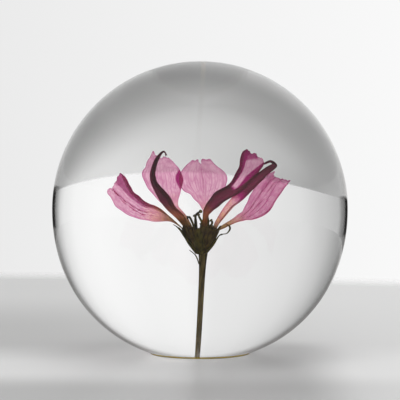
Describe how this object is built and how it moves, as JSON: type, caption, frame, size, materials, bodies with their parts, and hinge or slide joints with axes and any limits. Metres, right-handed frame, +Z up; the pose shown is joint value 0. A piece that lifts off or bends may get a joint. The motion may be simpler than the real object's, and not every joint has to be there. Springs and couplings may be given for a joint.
{
  "type": "paperweight",
  "caption": "Clear cast ball paperweight, flat underneath on a thin pad, with an upright dried pink flower set in it.",
  "frame": {"origin": "centre of the underside, on the table under the ball", "axes": "+Z up through the ball's centre; -Y is the front, where the flower is seen spread left to right"},
  "size_m": [0.08, 0.08, 0.0791],
  "materials": {
    "clear_resin": "polished",
    "pad": "satin",
    "stem": "matte",
    "cup": "matte",
    "open_petal": "satin",
    "folded_petal": "satin",
    "stamen": "matte",
    "sepal": "matte"
  },
  "bodies": {
    "root": {"resin_globe": "clear_resin", "foot_pad": "pad", "flower_stem": "stem", "calyx_cup": "cup", "petal_far_left": "open_petal", "petal_back_left": "open_petal", "petal_front_left": "folded_petal", "petal_centre": "open_petal", "petal_front_right": "folded_petal", "petal_folded_right": "folded_petal", "petal_far_right": "open_petal", "pistil": "stamen", "stamen_1": "stamen", "stamen_2": "stamen", "stamen_3": "stamen", "stamen_4": "stamen", "stamen_5": "stamen", "stamen_6": "stamen", "sepal_curled": "sepal", "sepal_left": "sepal", "sepal_front": "sepal", "sepal_back_left": "sepal", "sepal_back_right": "sepal", "bract": "sepal"}
  },
  "joints": []
}
